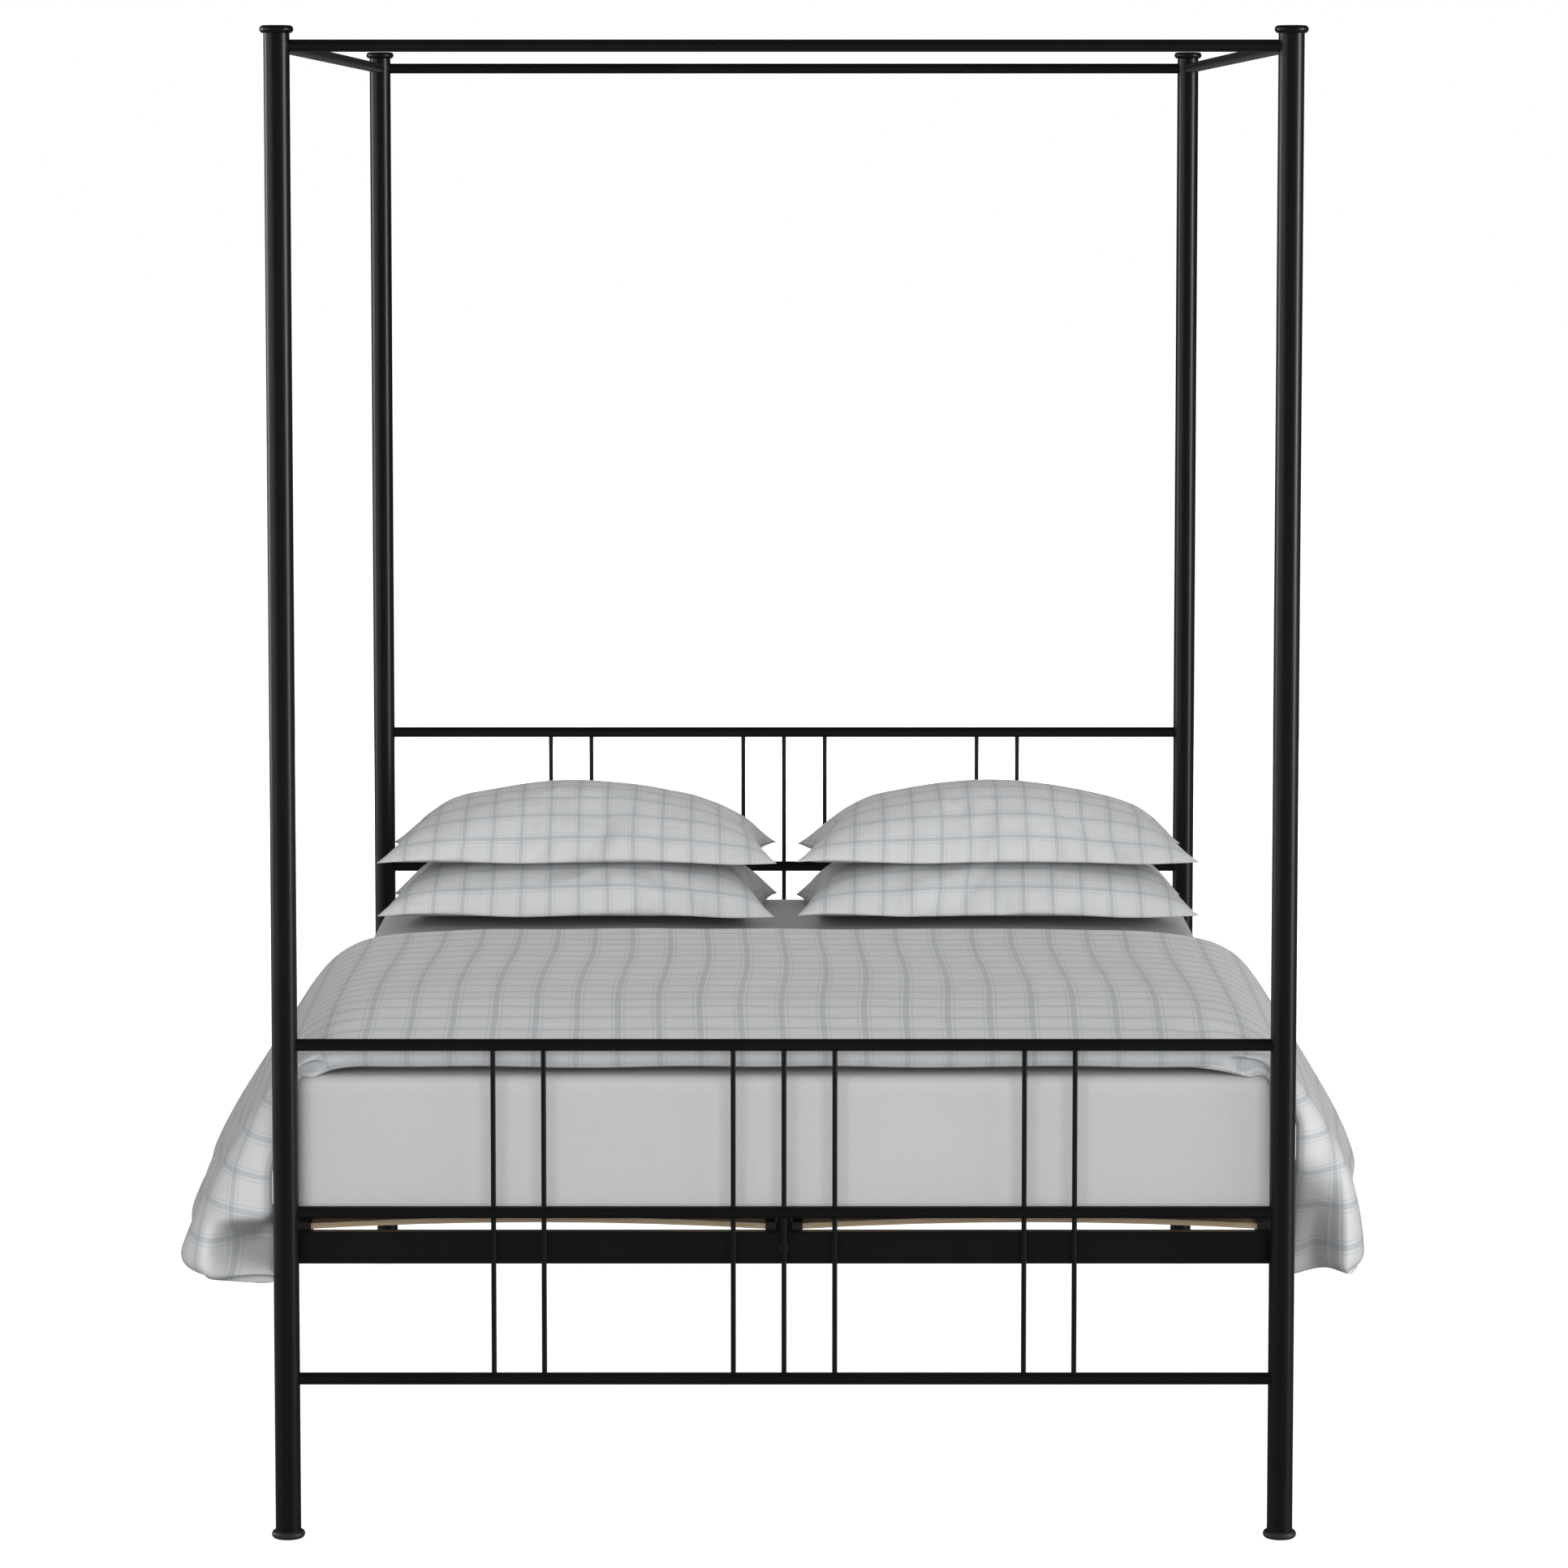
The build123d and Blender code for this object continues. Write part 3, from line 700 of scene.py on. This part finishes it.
# %% [markdown]
# ## Folds in the hanging sides
# Hanging cloth is never quite straight. The sides swing in and out in slow upright folds, and beside each
# foot post the cover is pushed back. On the left it tucks in under a sharp overhang and flares out again at
# the hem. On the right it gives way more gently, and a sharper fold runs up from the hem. The top has only
# faint hollows where the filling has settled. Each of these is one term added to the grid.

# %% Fold the face
def normals(grid):
    du = np.gradient(grid, axis=1)
    dt = np.gradient(grid, axis=0)
    n = np.cross(du, dt)
    n /= np.maximum(np.linalg.norm(n, axis=-1, keepdims=True), 1e-9)
    return n


TUCK = 0.160  # how far the cover is pushed back beside a foot post


def folded(grid):
    x, y, z = (grid[..., i].copy() for i in range(3))
    t, s = ALONG[:, None], ACROSS[None]
    hang = smooth_step(np.abs(s), 0.84, 1.12)
    ease = smooth_step(t, 0.10, 0.35)
    right = s > 0
    phase = np.where(right, 0.9, 0.2)
    swing = 0.0028 * np.sin(2 * np.pi * t / 0.47 + phase * 4)
    swing = swing + 0.0015 * np.sin(2 * np.pi * t / 0.26 + phase * 9)
    settled = 0.0014 * np.sin(17 * s + 3 * np.sin(7 * t)) * np.sin(13 * t + 2 * np.sin(5 * s))
    settled *= 1 - smooth_step(np.abs(s), 0.55, 0.75)
    grid = grid + normals(grid) * (hang * ease * swing + settled)[..., None]
    left_pinch = TUCK * (1 - smooth_step(z, 0.450, 0.500)) * (0.45 + 0.55 * smooth_step(z, 0.395, 0.440))
    left_pinch *= 1 - smooth_step(np.abs(x), 0.825, 0.915)
    right_pinch = TUCK * (1 - smooth_step(z, 0.42, 0.60)) * (1 - smooth_step(np.abs(x), 0.835, 0.880))
    pinch = np.where(right, right_pinch, left_pinch) * (np.abs(s) > 0.8)
    grid[..., 1] += pinch * (1 - smooth_step(t, 0.08, 0.36))
    low_hem = 0.024 * np.exp(-(((np.abs(x) - 0.818) / 0.030) ** 2)) * smooth_step(s, 1.02, 1.15)
    grid[..., 2] -= low_hem * (1 - smooth_step(t, 0.16, 0.30))
    valley = 0.016 * np.exp(-(((np.abs(x) - 0.862) / 0.016) ** 2))
    valley *= smooth_step(z, 0.40, 0.46) * (1 - smooth_step(z, 0.56, 0.64))
    crease_x, crease_y = x - 0.600, y + 0.945
    run = np.clip((crease_x * 0.89 + crease_y * -0.456) / 0.14, 0, 1)
    crease = np.hypot(crease_x - 0.125 * run, crease_y + 0.064 * run)
    grid[..., 2] -= 0.007 * np.exp(-((crease / 0.016) ** 2)) * smooth_step(run, 0.0, 0.5)
    grid[..., 1] += np.where(right, valley * (1 - smooth_step(t, 0.10, 0.22)), 0)
    return grid


face = folded(face)
print("folded duvet reaches:", face.reshape(-1, 3).min(0).round(3), face.reshape(-1, 3).max(0).round(3))

# %% [markdown]
# ## Filling
# The filling is deep on the bed and shallow where the cover is pulled over an edge. Near a seam it thins to
# nothing in a round roll, because the seam holds the face and the lining together. The lining is also kept
# above the mattress, since that is what it lies on.

# %% Fill it and sew it
DEEP, SHALLOW, FOOT_ROLL = 0.083, 0.035, 0.047


def mattress_surface(x, y):
    """The height of the made-up mattress below a point, following its rounded edges."""
    inside_x = np.clip((np.abs(x) - (HALF_WIDTH - CORNER)) / CORNER, 0, 1)
    inside_y = np.clip((np.abs(y) - (HALF_LENGTH - CORNER)) / CORNER, 0, 1)
    away = np.clip(np.hypot(inside_x, inside_y), 0, 1)
    return BED_TOP - CORNER * (1 - np.sqrt(1 - away**2))


def filled(grid):
    t, s = ALONG[:, None], ACROSS[None]
    on_top = FOOT_ROLL + (DEEP - FOOT_ROLL) * smooth_step(t, 0.0, 0.22)
    depth = on_top + (SHALLOW - on_top) * smooth_step(np.abs(s), 0.60, 0.86)
    edge = np.minimum(np.minimum(t, DUVET_RUN - t), np.minimum(s + LEFT_CUT, RIGHT_CUT - s))
    round_off = np.sqrt(np.clip(1 - (1 - np.minimum(edge / ROLL, 1)) ** 2, 0, 1))
    n = normals(grid)
    middle = grid - n * (depth / 2)[..., None]
    top = middle + n * (depth / 2 * round_off)[..., None]
    under = middle - n * (depth / 2 * round_off)[..., None]
    over_bed = (np.abs(under[..., 0]) < HALF_WIDTH) & (np.abs(under[..., 1]) < HALF_LENGTH)
    rest = mattress_surface(under[..., 0], under[..., 1]) + 0.002
    under[..., 2] = np.where(over_bed, np.maximum(under[..., 2], rest), under[..., 2])
    return top, under


top, under = filled(face)
wobble = 0.0045 * np.sin(7.5 * ALONG[:, None] + 2.2 * np.sin(2.1 * ACROSS[None]))
wobble = wobble * (1 - smooth_step(np.abs(ACROSS[None]), 0.6, 0.8))
flat = np.stack([ACROSS[None] + wobble, ALONG[:, None] + 0 * wobble], axis=-1)
duvet = sewn("cotton_duvet", top, under, flat)
duvet.modifiers.new("soft surface", "SUBSURF").render_levels = 1
dress(duvet, DUVET_COTTON, "duvet_check", "duvet", "duvet")
print("duvet faces:", len(duvet.data.polygons))

# %% [markdown]
# ## Pillows
# A pillow is two flat panels sewn round the edge and stuffed. Nobody models that shape by hand well: the
# panels have to stay the size they were cut, so as they swell the sides pull in, the corners stay as flat
# points, and the cloth puckers along the seam. Cloth simulation with air pressure does just that. Each case
# is simulated on its own, flat, without weight, and the result is then laid down: the underside is pressed
# onto what it lies on, and the pillow below is flattened by the one above.

# %% Simulate one pillowcase
CASE_WIDTH, CASE_DEPTH = 0.80, 0.545
CASE_CELLS = (72, 49)
CASE_START = 0.012
AIR_PRESSURE = 4.5
CREASES = 0.42  # share of the simulated shape in the finished one


def flat_case(name, seed):
    """Two panels on one grid, slightly apart in the middle so that the air has something to push on."""
    u = np.linspace(-0.5, 0.5, CASE_CELLS[0] + 1)[None]
    v = np.linspace(-0.5, 0.5, CASE_CELLS[1] + 1)[:, None]
    x, y = CASE_WIDTH * u + 0 * v, CASE_DEPTH * v + 0 * u
    chance = np.random.default_rng(seed)
    rise = CASE_START * (1 - (2 * np.abs(u)) ** 4) * (1 - (2 * np.abs(v)) ** 4)
    creases = sum(
        0.0025 * np.sin(a * x + b * y + c)
        for a, b, c in zip(chance.uniform(-40, 40, 5), chance.uniform(-40, 40, 5), chance.uniform(0, 6, 5))
    )
    face = np.stack([x, y, rise + creases * rise / CASE_START], axis=-1)
    lining = np.stack([x, y, -rise + creases * rise / CASE_START], axis=-1)
    return sewn(name, face, lining, np.stack([x, y], axis=-1))


def swell(piece, pressure, frames=26):
    """Blows the case up as cloth, with no weight, and returns where its points end up."""
    bpy.context.view_layer.objects.active = piece
    cloth = piece.modifiers.new("stuffing", "CLOTH")
    cloth.settings.quality = 6
    cloth.settings.mass = 0.25
    cloth.settings.tension_stiffness = 45
    cloth.settings.compression_stiffness = 45
    cloth.settings.shear_stiffness = 12
    cloth.settings.bending_stiffness = 0.6
    cloth.settings.air_damping = 3
    cloth.settings.use_pressure = True
    cloth.settings.uniform_pressure_force = pressure
    cloth.settings.effector_weights.gravity = 0
    for number in range(1, frames + 1):
        scene.frame_set(number)
    seen = piece.evaluated_get(bpy.context.evaluated_depsgraph_get())
    points = np.empty(len(seen.data.vertices) * 3)
    seen.data.vertices.foreach_get("co", points)
    piece.modifiers.remove(cloth)
    scene.frame_set(1)
    return points.reshape(-1, 3)


def stuffed(piece):
    """The shape that a full case tends to, from -1 to 1: a broad dome, drawn-in sides, pointed corners."""
    flat_points = np.empty(len(piece.data.vertices) * 3)
    piece.data.vertices.foreach_get("co", flat_points)
    u, v, side = (flat_points.reshape(-1, 3) / (CASE_WIDTH / 2, CASE_DEPTH / 2, 1)).T
    a, b = np.abs(u), np.abs(v)
    dome = (1 - 0.42 * a**1.8) * np.clip(1 - a**8, 0, 1) ** 0.75 * np.clip(1 - b**2.3, 0, 1) ** 0.8
    drawn_in = u * (1 - 0.085 * (1 - v**2)), v * (1 - 0.05 * (1 - u**2))
    return np.stack([drawn_in[0], drawn_in[1], np.sign(np.round(side, 6)) * dome], axis=-1)


def mixed(piece, simulated):
    """Mostly the full shape, with the simulated creases and pull of the cloth laid over it."""
    low, high = simulated.min(0), simulated.max(0)
    simulated = 2 * (simulated - (low + high) / 2) / (high - low)
    return stuffed(piece) * (1 - CREASES) + simulated * CREASES


print("case cut to:", CASE_WIDTH, "by", CASE_DEPTH)

# %% Lay the pillows down
FRONT_SEAM = {"lower": 0.759, "upper": 0.858}
REAR_SEAM = {"lower": 0.731, "upper": 0.831}
CROWN = {"lower": 0.850, "upper": 0.980}
REST = {"lower": BED_TOP, "upper": CROWN["lower"]}
STACKS = {"left": (-0.757, -0.008), "right": (0.018, 0.770)}
PILLOW_FRONT, PILLOW_REAR = 0.487, 0.995
CASE_GAP = 0.0015  # between a pillow and what it lies on
UNDERSIDE_SLOPE = 0.12  # a plump pillow's underside lifts off the bed towards its front seam


def laid(points, level, side, surface):
    """The simulated case, brought to its place on the bed, and pressed against the surface it lies on."""
    share = (points + 1) / 2
    left, right = STACKS[side]
    x = left + (right - left) * share[:, 0]
    y = PILLOW_FRONT + (PILLOW_REAR - PILLOW_FRONT) * share[:, 1]
    seam = FRONT_SEAM[level] + (REAR_SEAM[level] - FRONT_SEAM[level]) * share[:, 1]
    height = points[:, 2]
    rise = np.clip(height, 0, 1)
    if level == "lower":
        rise = 1 - (1 - rise) ** 1.8
    seam = seam + 0.004 * np.sin(x * 17 + 3 * share[:, 1]) * (1 - rise)
    top = seam + (CROWN[level] - seam) * rise
    sink = smooth_step(1 - np.abs(points[:, 1]), 0.0, 0.35) * smooth_step(1 - np.abs(points[:, 0]), 0.0, 0.12)
    base = np.array([surface(px, py) for px, py in zip(x, y)]) + CASE_GAP
    lifted = FRONT_SEAM[level] - UNDERSIDE_SLOPE * (y - PILLOW_FRONT)
    bed = np.maximum(base, np.maximum(lifted, np.minimum(REST[level], seam - 0.003)))
    under = seam + (np.minimum(bed, seam) - seam) * sink
    return np.c_[x, y, np.maximum(np.where(height >= 0, top, under), base)]


def top_of(piece):
    """A function that gives the height of a piece's top at a place, or of the bed beside it."""
    mesh = piece.data
    tree = BVHTree.FromPolygons([v.co for v in mesh.vertices], [p.vertices for p in mesh.polygons])

    def height(x, y):
        hit = tree.ray_cast(Vector((x, y, 2)), Vector((0, 0, -1)))[0]
        return BED_TOP if hit is None else hit.z

    return height


def pillow(level, side, seed, surface):
    name = f"{level}_{side}_pillow"
    piece = flat_case(name, seed)
    points = mixed(piece, swell(piece, AIR_PRESSURE))
    piece.data.vertices.foreach_set("co", laid(points, level, side, surface).ravel())
    piece.modifiers.new("soft surface", "SUBSURF").render_levels = 1
    dress(piece, PILLOW_COTTON, "pillow_check", f"pillow_{level}_{side}", f"pillow_{level}_{side}")
    return piece


for number, side in enumerate(("left", "right")):
    lower = pillow("lower", side, 11 + number, lambda x, y: BED_TOP)
    upper = pillow("upper", side, 21 + number, top_of(lower))
    print(side, "pillows:", len(lower.data.vertices), "points each")

# %% [markdown]
# ## Floor
# The bed stands on a plain white floor. It is a large disc just under the feet, not attached to any part
# of the bed.

# %% Lay the floor
FLOOR_GLOW = 0.80

disc = bmesh.new()
bmesh.ops.create_circle(disc, cap_ends=True, segments=96, radius=60)
floor_mesh = bpy.data.meshes.new("studio_floor")
disc.to_mesh(floor_mesh)
disc.free()
floor = bpy.data.objects.new("studio_floor", floor_mesh)
scene.collection.objects.link(floor)
floor.location.z = -0.0005
white = Finish("studio_white", Base_Color=(0.75, 0.75, 0.75, 1), Roughness=0.9, Specular_IOR_Level=0.0)
white.set(Emission_Color=(1, 1, 1, 1), Emission_Strength=FLOOR_GLOW)
seen = white.add("ShaderNodeLightPath", {}, {}, "Is Camera Ray")
dull = white.add("ShaderNodeBsdfDiffuse", {}, {"Color": (0.30, 0.30, 0.30, 1)})
look = white.add("ShaderNodeMixShader", {}, {0: seen, 1: dull, 2: Wire(white, white.shader.outputs[0])})
white.feed(white.tree.nodes["Material Output"].inputs["Surface"], look)
floor.data.materials.append(white.material)
print("floor radius: 60 m")
